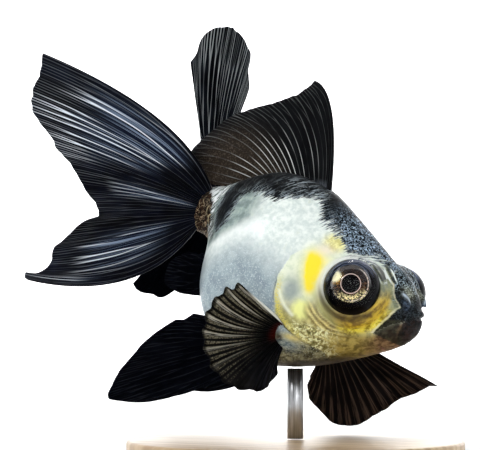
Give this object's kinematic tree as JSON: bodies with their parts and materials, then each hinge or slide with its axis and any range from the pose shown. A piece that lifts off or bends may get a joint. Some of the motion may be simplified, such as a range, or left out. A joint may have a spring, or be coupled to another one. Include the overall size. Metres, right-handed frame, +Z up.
{
  "type": "fancy goldfish model",
  "caption": "Life-size still model of a round-bodied telescope-eyed goldfish with a double tail, black, white and yellow, held nose-down on a round display stand.",
  "frame": {"origin": "centre of the underside of the stand's base", "axes": "+X the way the fish heads, +Y towards its left side, +Z up"},
  "size_m": [0.111, 0.0892, 0.1174],
  "materials": {
    "pearl_skin": "wet pearly scales",
    "cheek_skin": "wet golden skin",
    "dark_skin": "wet black skin",
    "eye": "polished",
    "fin": "satin, ribbed",
    "stand_wood": "pale, satin",
    "stand_steel": "brushed"
  },
  "bodies": {
    "root": {"head": "pearl_skin", "trunk": "pearl_skin", "gill_cover_right": "cheek_skin", "gill_cover_left": "cheek_skin", "lower_jaw": "dark_skin", "nose_flap_right": "dark_skin", "nose_flap_left": "dark_skin", "tail_root": "dark_skin", "eye_right": "eye", "eye_left": "eye", "dorsal_fin": "fin", "pectoral_fin_right": "fin", "pectoral_fin_left": "fin", "pelvic_fin_right": "fin", "pelvic_fin_left": "fin", "anal_fin_right": "fin", "anal_fin_left": "fin", "tail_fin_upper_right": "fin", "tail_fin_upper_left": "fin", "tail_fin_lower_right": "fin", "tail_fin_lower_left": "fin", "stand_base": "stand_wood", "stand_rod": "stand_steel"}
  },
  "joints": []
}
